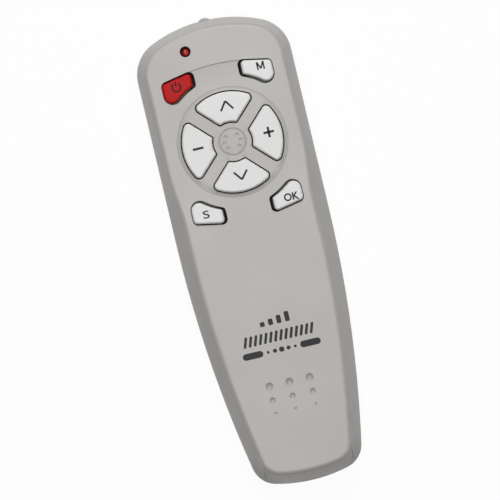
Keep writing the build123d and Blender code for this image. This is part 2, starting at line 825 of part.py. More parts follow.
# Places of the wire legs that go through the board
lamp_leads = [(indicator_x + side * lead_pitch / 2, indicator_y) for side in (-1, 1)]
emitter_lead_y = emitter_back_y - lead_run
emitter_leads = [(side * lead_pitch / 2, emitter_lead_y) for side in (-1, 1)]
receiver_back_y = head_y - receiver_recess - lamp_length
receiver_lead_y = receiver_back_y - lead_run
receiver_leads = [(receiver_x + side * lead_pitch / 2, receiver_lead_y) for side in (-1, 1)]

# Circuit board: follows the head of the shell, with a notch for the emitter
with BuildPart() as circuit_board:
    with BuildSketch(Plane.XY.offset(board_low_z)):
        add(plan(inset=board_margin))
        with Locations((0, board_tail_y)):
            Rectangle(2 * body_width, body_length, align=(Align.CENTER, Align.MAX), mode=Mode.SUBTRACT)
        with Locations((0, emitter_back_y - notch_clearance)):
            Rectangle(
                2 * (emitter_flange_radius + notch_clearance),
                body_length,
                align=(Align.CENTER, Align.MIN),
                mode=Mode.SUBTRACT,
            )
        with Locations(*board_screw_places):
            RegularPolygon(board_hole_radius, hidden_sides, mode=Mode.SUBTRACT)
        with Locations(*case_screw_places):
            RegularPolygon(boss_radius + notch_clearance, hidden_sides, mode=Mode.SUBTRACT)
        with Locations(*lamp_leads, *emitter_leads, *receiver_leads):
            Rectangle(2 * lead_hole_radius, 2 * lead_hole_radius, mode=Mode.SUBTRACT)
    extrude(amount=board_thickness)
save(circuit_board, "circuit_board")

# Carbon tracks that the pills press on, two under each key
with BuildPart() as contact_pads:
    with BuildSketch(Plane.XY.offset(board_top_z)):
        for key in keys:
            for side in (-1, 1):
                with Locations((key.middle[0], key.middle[1] + side * (track_gap + track_width) / 2)):
                    Rectangle(track_length, track_width)
    extrude(amount=track_thickness)
save(contact_pads, "contact_pads")


def lamp_profile(radius, length, flange_radius, flange):
    """Half the section of a round lamp that looks along +Y, from its foot at the origin."""
    with BuildSketch() as half:
        with BuildLine():
            shoulder = length - radius
            Polyline((0, shoulder), (0, 0), (flange_radius, 0), (flange_radius, flange), (radius, flange))
            Line((radius, flange), (radius, shoulder))
            RadiusArc((radius, shoulder), (0, length), -radius)
            Line((0, length), (0, shoulder))
        make_face()
    return half.sketch


def wire_legs(name, x, back_y, low_z, turn_y):
    """Two square wires that run back from a lamp and turn up through the board."""
    with BuildPart() as legs:
        for side in (-1, 1):
            leg_x = x + side * lead_pitch / 2
            with BuildSketch(Plane.YZ.offset(leg_x - lead_size / 2)):
                with BuildLine():
                    top_z = board_top_z + lead_stub
                    Polyline(
                        (back_y, low_z - lead_size / 2),
                        (turn_y - lead_size / 2, low_z - lead_size / 2),
                        (turn_y - lead_size / 2, top_z),
                        (turn_y + lead_size / 2, top_z),
                        (turn_y + lead_size / 2, low_z + lead_size / 2),
                        (back_y, low_z + lead_size / 2),
                        close=True,
                    )
                make_face()
            extrude(amount=lead_size)
    save(legs, name)


with BuildPart() as indicator_lamp:
    with BuildSketch(Plane.XZ):
        add(lamp_profile(lamp_radius, lamp_length, lamp_flange_radius, lamp_flange))
    revolve(axis=Axis.Z)
foot_z = face_z - indicator_recess - lamp_length
indicator_lamp.part = indicator_lamp.part.moved(Location((indicator_x, indicator_y, foot_z)))
save(indicator_lamp, "indicator_lamp")

with BuildPart() as indicator_legs:
    with BuildSketch(Plane.XY.offset(board_low_z - lead_stub)):
        with Locations(*lamp_leads):
            Rectangle(lead_size, lead_size)
    extrude(amount=foot_z - board_low_z + lead_stub)
save(indicator_legs, "indicator_legs")

with BuildPart() as infrared_emitter:
    with BuildSketch(Plane.XZ):
        add(lamp_profile(emitter_radius, emitter_length, emitter_flange_radius, emitter_flange))
    revolve(axis=Axis.Z)
looking_out = Rotation(-90, 0, 0)
emitter_place = Location((0, emitter_back_y, emitter_z))
infrared_emitter.part = infrared_emitter.part.moved(emitter_place * looking_out)
save(infrared_emitter, "infrared_emitter")
wire_legs("emitter_legs", 0, emitter_back_y, emitter_z, emitter_lead_y)

with BuildPart() as learning_receiver:
    for radius, length in ((lamp_flange_radius, lamp_flange), (lamp_radius, lamp_length)):
        with BuildSketch(Plane.XZ.offset(-receiver_back_y)):
            with Locations((receiver_x, receiver_z)):
                RegularPolygon(radius, hidden_sides)
        extrude(amount=-length)
    chamfer(learning_receiver.faces().sort_by(Axis.Y)[-1].edges(), receiver_edge)
save(learning_receiver, "learning_receiver")
wire_legs("receiver_legs", receiver_x, receiver_back_y, receiver_z, receiver_lead_y)


def chip_legs(name, x, y, width, height, count):
    """Bent legs along both long sides of a chip that hangs under the board."""
    out_y = width / 2 + chip_lead_reach
    bend_z = board_low_z - height / 2
    with BuildPart() as legs:
        with BuildSketch(Plane.YZ.offset(-chip_lead_width / 2)):
            with BuildLine():
                Polyline(
                    (width / 2, bend_z),
                    (out_y, bend_z),
                    (out_y, board_low_z),
                    (out_y - chip_lead_thickness, board_low_z),
                    (out_y - chip_lead_thickness, bend_z + chip_lead_thickness),
                    (width / 2, bend_z + chip_lead_thickness),
                    close=True,
                )
            make_face()
        leg = extrude(amount=chip_lead_width, mode=Mode.PRIVATE)
        other = mirror(leg, about=Plane.XZ, mode=Mode.PRIVATE)
        for number in range(count):
            step = (number - (count - 1) / 2) * chip_lead_pitch
            add([side.moved(Location((x + step, y, 0))) for side in (leg, other)])
    save(legs, name)


def chip(name, x, y, length, width, height):
    """Moulded body of a chip under the board."""
    with BuildPart() as body:
        with BuildSketch(Plane.XY.offset(board_low_z)):
            with Locations((x, y)):
                Rectangle(length, width)
        extrude(amount=-height, taper=chip_draft)
    save(body, name)


chip_y = pad_y + chip_past_pad
chip("controller_chip", 0, chip_y, chip_length, chip_width, chip_height)
chip_legs("controller_legs", 0, chip_y, chip_width, chip_height, chip_lead_count)
memory_y = pad_y - memory_past_pad
chip("memory_chip", memory_x, memory_y, memory_length, memory_width, memory_height)
chip_legs("memory_legs", memory_x, memory_y, memory_width, memory_height, memory_lead_count)

with BuildPart() as resonator:
    with BuildSketch(Plane.XY.offset(board_low_z)):
        with Locations((resonator_x, pad_y - resonator_past_pad)):
            Rectangle(resonator_length, resonator_width)
    extrude(amount=-resonator_height)
save(resonator, "resonator")

with BuildPart() as storage_capacitor:
    with BuildSketch(Plane.XY.offset(board_low_z)):
        with Locations((capacitor_x, board_tail_y + capacitor_from_tail)):
            Circle(capacitor_radius)
    extrude(amount=-capacitor_length)
    chamfer(storage_capacitor.faces().sort_by(Axis.Z)[0].edges(), capacitor_edge)
save(storage_capacitor, "storage_capacitor")

with BuildPart() as driver_transistor:
    with BuildSketch(Plane.XY.offset(board_low_z)):
        with Locations((transistor_x, pad_y + transistor_past_pad)):
            Rectangle(transistor_length, transistor_width)
    extrude(amount=-transistor_height, taper=chip_draft)
save(driver_transistor, "driver_transistor")

resistor_y = pad_y + resistor_past_pad
small_capacitor_y = board_tail_y + small_capacitor_from_tail
for name, count, pitch, row_y in (
    ("resistors", resistor_count, resistor_pitch, resistor_y),
    ("small_capacitors", small_capacitor_count, small_capacitor_pitch, small_capacitor_y),
):
    with BuildPart() as row:
        with BuildSketch(Plane.XY.offset(board_low_z)):
            with Locations((0, row_y)):
                with GridLocations(pitch, pitch, count, 1):
                    Rectangle(chip_part_width, chip_part_length)
        extrude(amount=-chip_part_height)
    save(row, name)


def cell(name, x, foot_y, way):
    """A round cell from its flat end at foot_y, with its nub towards way."""
    shoulder = cell_length - cell_nub_height
    rim = cell_diameter / 2
    with BuildPart() as body:
        with BuildSketch():
            with BuildLine():
                Polyline(
                    (0, 0),
                    (rim, 0),
                    (rim, shoulder - cell_edge),
                    (rim - cell_edge, shoulder),
                    (cell_nub_radius, shoulder),
                    (cell_nub_radius, cell_length),
                    (0, cell_length),
                    close=True,
                )
            make_face()
        revolve(axis=Axis.Y)
    turn = 0 if way > 0 else 180
    body.part = body.part.moved(Location((x, foot_y, cell_z), (0, 0, turn)))
    save(body, name)


# The left cell has its nub at the head, the right cell at the tail
plate_head_y = bay_head_y - contact_play
plate_tail_y = bay_tail_y + contact_play
cell_head_y = plate_head_y - contact_thickness
cell_tail_y = plate_tail_y + contact_thickness
cell("battery_left", -cell_x, cell_head_y - cell_length, 1)
cell("battery_right", cell_x, cell_tail_y + cell_length, -1)


def contact_plate(name, x):
    """A plate on the head wall of the bay, with a tab that runs out to the board."""
    with BuildPart() as plate:
        with BuildSketch(Plane.XZ.offset(-plate_head_y)):
            with Locations((x, cell_z)):
                Rectangle(contact_width, contact_height)
            with Locations((x, cell_z)):
                Rectangle(contact_tab_width, board_low_z - cell_z, align=(Align.CENTER, Align.MIN))
        extrude(amount=contact_thickness)
        with BuildSketch(Plane.XY.offset(board_low_z)):
            with Locations((x, cell_head_y)):
                tab_length = board_tail_y + contact_landing - cell_head_y
                Rectangle(contact_tab_width, tab_length, align=(Align.CENTER, Align.MIN))
        extrude(amount=-contact_thickness)
    save(plate, name)


contact_plate("positive_contact", -cell_x)
contact_plate("negative_contact", cell_x)

with BuildPart() as bridge_contact:
    with BuildSketch(Plane.XZ.offset(-plate_tail_y)):
        with Locations((0, cell_z)):
            Rectangle(2 * cell_x + contact_width, contact_height)
    extrude(amount=-contact_thickness)
save(bridge_contact, "bridge_contact")


def coil_point(half_turns):
    """A point on the middle of the spring wire, from the middle of its base plate."""
    passed = half_turns / spring_half_turns
    rise = (1 - cos(pi * passed)) / 2
    radius = spring_base_radius + (spring_tip_radius - spring_base_radius) * passed
    angle = half_turns * pi
    height = spring_wire_radius + rise * (spring_length - 2 * spring_wire_radius)
    return Vector(radius * cos(angle), radius * sin(angle), height)


def coil_way(half_turns):
    """The direction of the wire at one end of a half turn."""
    ahead = coil_point(min(half_turns + coil_step, spring_half_turns))
    behind = coil_point(max(half_turns - coil_step, 0))
    return (ahead - behind).normalized()


def coil_gap():
    """The least gap between neighbouring turns of the spring, measured on points."""
    count = coil_samples * spring_half_turns
    points = [coil_point(number / coil_samples) for number in range(count + 1)]
    apart = [
        (points[one] - points[two]).length
        for one in range(count)
        for two in range(one + coil_samples, count)
    ]
    return min(apart) - 2 * spring_wire_radius


def spring(name, x, foot_y, way):
    """A cone-shaped spring that stands on a contact plate and presses on a cell."""
    with BuildPart() as coil:
        with BuildLine() as path:
            for number in range(spring_half_turns):
                start, end = coil_point(number), coil_point(number + 1)
                way_in, way_out = coil_way(number), coil_way(number + 1)
                span, both = end - start, way_in + way_out
                spread = 2 * (1 - way_in.dot(way_out))
                along = span.dot(both)
                reach = (sqrt(along**2 + spread * span.dot(span)) - along) / spread
                middle = (start + end + (way_in - way_out) * reach) / 2
                TangentArc(start, middle, tangent=way_in)
                TangentArc(middle, end, tangent=path.line.edges()[-1] % 1)
        with BuildSketch(Plane(coil_point(0), z_dir=coil_way(0))):
            RegularPolygon(spring_wire_radius, spring_wire_sides)
        sweep(path=path.line)
    turn = (-90, 0, 0) if way > 0 else (90, 0, 0)
    coil.part = coil.part.moved(Location((x, foot_y, cell_z), turn))
    save(coil, name)


spring("bridge_spring", -cell_x, cell_tail_y, 1)
spring("negative_spring", cell_x, cell_head_y, -1)
print("spring: least gap between turns", round(coil_gap(), 2))


def screws(name, places, foot_z, length):
    """Slotted screws that point up, with the underside of their heads at foot_z."""
    with BuildPart() as group:
        for x, y in places:
            with BuildSketch(Plane.XY.offset(foot_z)):
                with Locations((x, y)):
                    RegularPolygon(screw_head_radius, hidden_sides)
            extrude(amount=-screw_head_height)
            with BuildSketch(Plane.XY.offset(foot_z)):
                with Locations((x, y)):
                    RegularPolygon(screw_radius, hidden_sides)
            extrude(amount=length)
            with BuildSketch(Plane.XY.offset(foot_z - screw_head_height)):
                with Locations((x, y)):
                    Rectangle(2 * screw_head_radius + overrun, screw_slot_width)
            extrude(amount=screw_slot_depth, mode=Mode.SUBTRACT)
    save(group, name)


screws("board_screws", board_screw_places, board_low_z, board_screw_length)
screws("case_screws", case_screw_places, post_top_z - post_floor, case_screw_length)
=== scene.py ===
# %% [markdown]
# An infrared remote control, dressed for a studio picture. The CAD model is the fixed frame: every
# shell, key, lamp and screw already lies where it belongs, in metres. This script rounds the edges
# that a mould rounds, prints the signs on the keys, gives each piece its finish, and sets up a
# pale floor, soft light and a camera that looks straight down on the key face.

# %% Load the frame
import bmesh
import bpy
import json
from math import atan2, cos, pi, radians, sin
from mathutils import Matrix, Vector


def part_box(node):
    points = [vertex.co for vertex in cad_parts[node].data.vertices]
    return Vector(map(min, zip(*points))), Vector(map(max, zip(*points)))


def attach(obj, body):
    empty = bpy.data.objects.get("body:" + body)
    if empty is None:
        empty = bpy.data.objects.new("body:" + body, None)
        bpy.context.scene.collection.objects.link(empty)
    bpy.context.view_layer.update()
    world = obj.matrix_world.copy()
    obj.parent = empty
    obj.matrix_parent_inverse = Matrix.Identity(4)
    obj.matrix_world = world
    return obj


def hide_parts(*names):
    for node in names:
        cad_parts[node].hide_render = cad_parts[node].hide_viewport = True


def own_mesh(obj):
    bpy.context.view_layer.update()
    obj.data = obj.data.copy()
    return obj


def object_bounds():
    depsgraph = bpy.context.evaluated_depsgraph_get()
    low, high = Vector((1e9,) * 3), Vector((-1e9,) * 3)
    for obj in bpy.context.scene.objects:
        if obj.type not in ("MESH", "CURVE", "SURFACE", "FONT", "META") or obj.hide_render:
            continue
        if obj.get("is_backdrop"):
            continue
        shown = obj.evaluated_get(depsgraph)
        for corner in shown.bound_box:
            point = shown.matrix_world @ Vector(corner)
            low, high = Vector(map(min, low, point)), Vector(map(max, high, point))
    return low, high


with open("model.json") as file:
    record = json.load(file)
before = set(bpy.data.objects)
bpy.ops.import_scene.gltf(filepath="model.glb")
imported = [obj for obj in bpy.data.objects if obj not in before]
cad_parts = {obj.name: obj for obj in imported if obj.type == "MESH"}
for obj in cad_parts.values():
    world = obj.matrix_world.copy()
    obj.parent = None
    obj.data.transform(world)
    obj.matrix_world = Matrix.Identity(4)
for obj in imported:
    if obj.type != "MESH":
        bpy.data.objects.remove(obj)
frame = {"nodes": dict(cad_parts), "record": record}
cad_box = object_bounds()
MM = 0.001

# %% [markdown]
# Operators act on all that is selected, and the frame arrives selected. So one small helper clears
# the selection and picks only the pieces that the next operator is meant for.

# %% Select only these pieces
def pick(*pieces):
    """Deselect everything, then select these pieces and make the first one active."""
    bpy.ops.object.select_all(action="DESELECT")
    for piece in pieces:
        piece.select_set(True)
    bpy.context.view_layer.objects.active = pieces[0]


# %% [markdown]
# The places on the key face could be typed in, but then they would drift from the model when it
# changes. They are measured from two things that the frame gives instead: the middle of the round
# key pad, midway between the up and down keys, and the flat of the face, a little below the pad.

# %% Measure the face
PAD_RISE = 0.4 * MM
pad_y = (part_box("up_key")[1][1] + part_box("down_key")[0][1]) / 2
face_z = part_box("front_shell")[1][2] - PAD_RISE
print("key pad middle at y", round(pad_y / MM, 2), "mm, face at z", round(face_z / MM, 2), "mm")

# %% [markdown]
# Effects that several finishes share are node groups: built once, with named inputs and outputs,
# and placed wherever they are needed. Building a group by hand takes many lines that say the same,
# so a few helpers take them up. Each of them accepts a plain number or a link for any value.

# %% Helpers for nodes
def new_group(name, inputs, outputs):
    """A node group with named inputs and outputs. Returns it and its two ends."""
    group = bpy.data.node_groups.new(name, "ShaderNodeTree")
    for label, value in inputs.items():
        kind = "NodeSocketVector" if isinstance(value, tuple) else "NodeSocketFloat"
        made = group.interface.new_socket(name=label, in_out="INPUT", socket_type=kind)
        made.default_value = value
    for label in outputs:
        group.interface.new_socket(name=label, in_out="OUTPUT", socket_type="NodeSocketFloat")
    start, end = group.nodes.new("NodeGroupInput"), group.nodes.new("NodeGroupOutput")
    return group, start.outputs, end.inputs


def feed(tree, place, value):
    """Set a socket to a plain number, or link another node's output to it."""
    if isinstance(value, (int, float)):
        place.default_value = value
    else:
        tree.links.new(value, place)


def maths(tree, operation, *values):
    """The output of a maths node."""
    node = tree.nodes.new("ShaderNodeMath")
    node.operation = operation
    for place, value in zip(node.inputs, values):
        feed(tree, place, value)
    return node.outputs[0]


def stretched(tree, value, ends, interpolation="LINEAR"):
    """A value that is stretched from one range to another, whose ends are given by name."""
    node = tree.nodes.new("ShaderNodeMapRange")
    node.interpolation_type = interpolation
    feed(tree, node.inputs["Value"], value)
    for name, end in ends.items():
        feed(tree, node.inputs[name], end)
    return node.outputs["Result"]


def noise(tree, scale, detail):
    """Noise in the piece's own coordinates."""
    place = tree.nodes.new("ShaderNodeTexCoord")
    node = tree.nodes.new("ShaderNodeTexNoise")
    tree.links.new(place.outputs["Object"], node.inputs["Vector"])
    feed(tree, node.inputs["Scale"], scale)
    feed(tree, node.inputs["Detail"], detail)
    return node.outputs["Fac"]


print("node helpers ready")

# %% [markdown]
# A grain too fine to see singly still decides how a moulded surface takes the light. A picture of
# a grain would need a file and would show its seams. Noise needs no file, has no seam, and its size
# is one number. The group puts out a height for the bump and a mask for small changes of tone.

# %% Group: moulded grain
GRAIN_SCALE, GRAIN_DETAIL = 1500.0, 3.0
GRAIN_RANGE = {"From Min": 0.35, "From Max": 0.65}

grain_group, grain_in, grain_out = new_group(
    "moulded_grain", {"Scale": GRAIN_SCALE, "Detail": GRAIN_DETAIL}, ("Height", "Mask")
)
grain = noise(grain_group, grain_in["Scale"], grain_in["Detail"])
grain_group.links.new(grain, grain_out["Height"])
grain_group.links.new(stretched(grain_group, grain, GRAIN_RANGE), grain_out["Mask"])
print("group", grain_group.name, "with", len(grain_group.nodes), "nodes")

# %% [markdown]
# Hands polish a remote a little here and dull it a little there. Such wear could be painted on, but
# nobody looks at one patch by itself, so noise will do. This second group moves a value between two
# ends in large soft patches, and is used for roughness. The patches are a few centimetres across,
# so they show as a change of sheen and not as dirt.

# %% Group: handling
PATCH_SCALE, PATCH_DETAIL = 40.0, 2.0
PATCH_RANGE = {"From Min": 0.3, "From Max": 0.7}
PATCH_LOW, PATCH_HIGH = 0.4, 0.5

handling_group, handling_in, handling_out = new_group(
    "handling", {"Scale": PATCH_SCALE, "Low": PATCH_LOW, "High": PATCH_HIGH}, ("Value",)
)
patches = noise(handling_group, handling_in["Scale"], PATCH_DETAIL)
patch_ends = {**PATCH_RANGE, "To Min": handling_in["Low"], "To Max": handling_in["High"]}
handling_group.links.new(stretched(handling_group, patches, patch_ends), handling_out["Value"])
print("group", handling_group.name, "with", len(handling_group.nodes), "nodes")

# %% [markdown]
# Light is lost at the foot of the raised pad and in the groove round its hub. A painted mask could
# show it, but both are rings, and a ring is easy to measure. This group takes how far a point lies
# from a middle, seen from above. Its mask rises from an inner to an outer radius, falls to nothing
# beyond, and holds only above the middle's height.

# %% Group: shade at a ring
def far_from(tree, middle):
    """How far a point lies from a middle, seen from above, and how high above it."""
    place = tree.nodes.new("ShaderNodeTexCoord")
    away = tree.nodes.new("ShaderNodeVectorMath")
    away.operation = "SUBTRACT"
    tree.links.new(place.outputs["Object"], away.inputs[0])
    tree.links.new(middle, away.inputs[1])
    flat = tree.nodes.new("ShaderNodeVectorMath")
    flat.operation = "MULTIPLY"
    flat.inputs[1].default_value = (1, 1, 0)
    tree.links.new(away.outputs[0], flat.inputs[0])
    length = tree.nodes.new("ShaderNodeVectorMath")
    length.operation = "LENGTH"
    tree.links.new(flat.outputs[0], length.inputs[0])
    apart = tree.nodes.new("ShaderNodeSeparateXYZ")
    tree.links.new(away.outputs[0], apart.inputs[0])
    return length.outputs["Value"], apart.outputs["Z"]


RING_INPUTS = {"Middle": (0.0, 0.0, 0.0), "Inner": 1.0, "Outer": 1.0, "Sharpness": 1.0}

ring_group, ring_in, ring_out = new_group("ring_shade", RING_INPUTS, ("Mask",))
far, above = far_from(ring_group, ring_in["Middle"])
rise = stretched(ring_group, far, {"From Min": ring_in["Inner"], "From Max": ring_in["Outer"]})
mask = maths(ring_group, "POWER", rise, ring_in["Sharpness"])
for test, value, limit in (("LESS_THAN", far, ring_in["Outer"]), ("GREATER_THAN", above, 0.0)):
    mask = maths(ring_group, "MULTIPLY", mask, maths(ring_group, test, value, limit))
ring_group.links.new(mask, ring_out["Mask"])
print("group", ring_group.name, "with", len(ring_group.nodes), "nodes")

# %% [markdown]
# The deeper a point lies below the face, the less light reaches it, in the sunken band, in the grip
# dimples and down in the gaps round the keys. Blender can look for hollows by itself, but slowly,
# and not in a file that leaves it. So this group's mask simply grows with the depth, down to a
# deepest level and inside a stretch of the face that can leave its sloping border out.

# %% Group: shade by depth
DEPTH_INPUTS = ("Face", "Depth", "Deepest", "Reach", "Tail Limit", "Head Limit")

depth_group, depth_in, depth_out = new_group(
    "depth_shade", {name: 1.0 for name in DEPTH_INPUTS}, ("Mask",)
)
depth_place = depth_group.nodes.new("ShaderNodeTexCoord")
depth_xyz = depth_group.nodes.new("ShaderNodeSeparateXYZ")
depth_group.links.new(depth_place.outputs["Object"], depth_xyz.inputs[0])
deep = maths(depth_group, "SUBTRACT", depth_in["Face"], depth_xyz.outputs["Z"])
across = maths(depth_group, "ABSOLUTE", depth_xyz.outputs["X"])
mask = stretched(depth_group, deep, {"From Max": depth_in["Depth"]})
for test, value, limit in (
    ("LESS_THAN", deep, "Deepest"),
    ("LESS_THAN", across, "Reach"),
    ("GREATER_THAN", depth_xyz.outputs["Y"], "Tail Limit"),
    ("LESS_THAN", depth_xyz.outputs["Y"], "Head Limit"),
):
    inside = maths(depth_group, test, value, depth_in[limit])
    mask = maths(depth_group, "MULTIPLY", mask, inside)
depth_group.links.new(mask, depth_out["Mask"])
print("group", depth_group.name, "with", len(depth_group.nodes), "nodes")

# %% [markdown]
# A lamp of clear resin is lit from within its own body: light that enters at one side gathers on
# the other. True refraction in so small a lamp takes many rays, so a mask stands for it here: the
# gathered light is painted into the resin's colour as a bright spot. It is full at a middle and
# fades to nothing at a radius.

# %% Group: gathered light
spot_group, spot_in, spot_out = new_group(
    "gathered_light", {"Middle": (0.0, 0.0, 0.0), "Radius": 1.0}, ("Mask",)
)
far, _ = far_from(spot_group, spot_in["Middle"])
spot_ends = {"From Max": spot_in["Radius"], "To Min": 1.0, "To Max": 0.0}
spot_group.links.new(stretched(spot_group, far, spot_ends, "SMOOTHSTEP"), spot_out["Mask"])
print("group", spot_group.name, "with", len(spot_group.nodes), "nodes")

# %% [markdown]
# Paint, rubber, resin and metal could each be built from nothing, but they differ in numbers more
# than in kind. So every finish on this object is one recipe: a colour that drifts slightly with the
# grain, a roughness that drifts with handling, and a bump from the grain. What is the same all
# over, such as the coat or the metal, is set on the shader's own socket.

# %% The recipe for a finish
LEAST_ROUGH = 0.02
GRAIN_RELIEF = 0.01 * MM


def placed(tree, group, values):
    """A node group placed in a material, with its inputs set by name."""
    node = tree.nodes.new("ShaderNodeGroup")
    node.node_tree = group
    for name, value in values.items():
        node.inputs[name].default_value = value
    return node


def mixed(tree, share, low, high):
    """A colour between two others, each a list of three numbers or a link."""
    node = tree.nodes.new("ShaderNodeMix")
    node.data_type = "RGBA"
    tree.links.new(share, node.inputs["Factor"])
    for name, colour in (("A", low), ("B", high)):
        if isinstance(colour, (list, tuple)):
            node.inputs[name].default_value = (*colour, 1)
        else:
            tree.links.new(colour, node.inputs[name])
    return node.outputs["Result"]


def finish(name, colour, rough, drift=0.04, sheen_drift=0.05, grain=GRAIN_SCALE,
           relief=GRAIN_RELIEF, **plain):
    """A material from a colour, a roughness and how much both drift. plain sets shader sockets."""
    material = bpy.data.materials.new(name)
    material.use_nodes = True
    tree = material.node_tree
    shader = tree.nodes["Principled BSDF"]
    grained = placed(tree, grain_group, {"Scale": grain})
    handled = placed(tree, handling_group, {
        "Scale": PATCH_SCALE,
        "Low": max(rough - sheen_drift, LEAST_ROUGH),
        "High": min(rough + sheen_drift, 1.0),
    })
    dark = [channel * (1 - drift) for channel in colour]
    light = [min(channel * (1 + drift), 1.0) for channel in colour]
    tone = mixed(tree, grained.outputs["Mask"], dark, light)
    bump = tree.nodes.new("ShaderNodeBump")
    bump.inputs["Strength"].default_value = 1.0
    bump.inputs["Distance"].default_value = relief
    tree.links.new(tone, shader.inputs["Base Color"])
    tree.links.new(handled.outputs["Value"], shader.inputs["Roughness"])
    tree.links.new(grained.outputs["Height"], bump.inputs["Height"])
    tree.links.new(bump.outputs["Normal"], shader.inputs["Normal"])
    for socket_name, value in plain.items():
        shader.inputs[socket_name.replace("_", " ")].default_value = value
    return material


print("finish recipe ready")

# %% [markdown]
# The case is moulded plastic with a warm grey satin paint, the keys are silicone rubber, and the
# lamps are clear resin. Inside lie a green board, black epoxy chips, and tinned and nickel-plated
# metal. Each entry is named for the material slot that the record gives the piece, so that a piece
# finds its finish by itself. Roughness tells the finishes apart as much as colour does: paint is
# smoother than rubber, and resin is smoother still.

# %% Finishes
RESIN_RELIEF = 0.002 * MM

finishes = {
    "shell_grey": finish("warm grey satin paint", (0.405, 0.387, 0.367), 0.37,
                         drift=0.02, sheen_drift=0.03),
    "key_white": finish("white satin silicone", (0.765, 0.765, 0.757), 0.46,
                        drift=0.015, grain=900.0, Specular_IOR_Level=0.4),
    "key_red": finish("red satin silicone", (0.46, 0.005, 0.004), 0.55,
                      drift=0.03, grain=900.0, Specular_IOR_Level=0.2),
    "silicone_grey": finish("grey silicone", (0.45, 0.45, 0.45), 0.6, grain=700.0),
    "board_green": finish("green solder mask", (0.02, 0.10, 0.04), 0.35, drift=0.12, grain=400.0),
    "carbon_black": finish("carbon", (0.02, 0.02, 0.02), 0.7, drift=0.2, grain=2500.0),
    "lamp_red": finish("red lamp resin", (0.10, 0.003, 0.005), 0.2, drift=0.05, sheen_drift=0.03,
                       grain=300.0, relief=RESIN_RELIEF, Specular_IOR_Level=0.3),
    "lamp_smoke": finish("smoky lamp resin", (0.445, 0.445, 0.46), 0.2, sheen_drift=0.03,
                         grain=300.0, relief=RESIN_RELIEF, Transmission_Weight=0.2, IOR=1.5),
    "lamp_dark": finish("dark lamp resin", (0.02, 0.02, 0.03), 0.12, sheen_drift=0.03,
                        grain=300.0, relief=RESIN_RELIEF, Coat_Weight=0.5),
    "tinned_wire": finish("tinned wire", (0.66, 0.66, 0.64), 0.3, drift=0.08, Metallic=1.0),
    "chip_black": finish("epoxy", (0.03, 0.03, 0.032), 0.5, drift=0.2, grain=3000.0),
    "resonator_blue": finish("blue dipped resin", (0.04, 0.12, 0.36), 0.25,
                             drift=0.1, grain=500.0),
    "capacitor_black": finish("plastic sleeve", (0.035, 0.035, 0.045), 0.25,
                              drift=0.1, grain=600.0),
    "ceramic_tan": finish("fired ceramic", (0.42, 0.3, 0.18), 0.55, drift=0.15, grain=3000.0),
    "cell_jacket": finish("cell jacket", (0.16, 0.18, 0.2), 0.3, drift=0.06, Metallic=0.6),
    "contact_plating": finish("nickel plating", (0.68, 0.66, 0.62), 0.25,
                              drift=0.08, Metallic=1.0),
    "screw_steel": finish("zinc plated steel", (0.5, 0.5, 0.48), 0.35, drift=0.12, Metallic=1.0),
}
print(len(finishes), "finishes")

# %% [markdown]
# Two things are laid over the plain finishes. Where little light comes, such as round the pad, in
# the sunken band and down in the gaps, a painted shade, a darker tone, goes over the paint and the
# rubber: the large soft lamps of this scene fill such shallow hollows more than a room does. And
# the resin of the red lamp gets a painted bright spot, a little off its middle, for the light
# gathered in it.

# %% Shade in the hollows and light in the lamp
PAD_RADIUS, PAD_SLOPE, PAD_FOOT = 17.5 * MM, 1.1 * MM, 0.15 * MM
HUB_RADIUS, HUB_GROOVE = 4.0 * MM, 0.45 * MM
RING_SHARPNESS = 2.0
SUNKEN_DEPTH, SUNKEN_REACH, SUNKEN_ENDS = 0.4 * MM, 9.0 * MM, (-56.0 * MM, 62.0 * MM)
JUST_BELOW = 1.0 * MM
WELL_DEPTH, FAR = 4.0 * MM, 1.0
SHADE_COLOUR, WELL_COLOUR, SPOT_COLOUR = (0.2, 0.19, 0.18), (0.01, 0.01, 0.01), (0.72, 0.035, 0.03)
PAD_SHADE, HUB_SHADE, SUNKEN_SHADE, WELL_SHADE, SPOT_LIGHT = 0.85, 0.5, 0.3, 0.85, 1.0
SPOT_ASIDE, SPOT_RADIUS = (0.2 * MM, -0.45 * MM), 1.25 * MM


def tinted(slot, group, colour, strength, values):
    """Lay a second colour over a finish where a group's mask is, as strongly as asked."""
    tree = finishes[slot].node_tree
    base = tree.nodes["Principled BSDF"].inputs["Base Color"]
    under = base.links[0].from_socket
    share = maths(tree, "MULTIPLY", placed(tree, group, values).outputs["Mask"], strength)
    tree.links.new(mixed(tree, share, under, colour), base)


tinted("shell_grey", ring_group, SHADE_COLOUR, PAD_SHADE, {
    "Middle": (0, pad_y, face_z - JUST_BELOW),
    "Inner": PAD_RADIUS - PAD_SLOPE, "Outer": PAD_RADIUS + PAD_FOOT, "Sharpness": RING_SHARPNESS,
})
tinted("shell_grey", ring_group, SHADE_COLOUR, HUB_SHADE, {
    "Middle": (0, pad_y, face_z - JUST_BELOW),
    "Inner": HUB_RADIUS - HUB_GROOVE, "Outer": HUB_RADIUS + HUB_GROOVE, "Sharpness": RING_SHARPNESS,
})
tinted("shell_grey", depth_group, SHADE_COLOUR, SUNKEN_SHADE, {
    "Face": face_z, "Depth": SUNKEN_DEPTH, "Deepest": JUST_BELOW,
    "Reach": SUNKEN_REACH, "Tail Limit": SUNKEN_ENDS[0], "Head Limit": SUNKEN_ENDS[1],
})
tinted("silicone_grey", depth_group, WELL_COLOUR, WELL_SHADE, {
    "Face": face_z, "Depth": WELL_DEPTH, "Deepest": FAR,
    "Reach": FAR, "Tail Limit": -FAR, "Head Limit": FAR,
})
# The bright spot on the red lamp is painted light: the light that gathers in the resin, laid into
# its colour.
lamp_low, lamp_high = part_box("indicator_lamp")
spot_x, spot_y = (
    (low + high) / 2 + aside for low, high, aside in zip(lamp_low, lamp_high, SPOT_ASIDE)
)
tinted("lamp_red", spot_group, SPOT_COLOUR, SPOT_LIGHT, {
    "Middle": (spot_x, spot_y, 0), "Radius": SPOT_RADIUS,
})
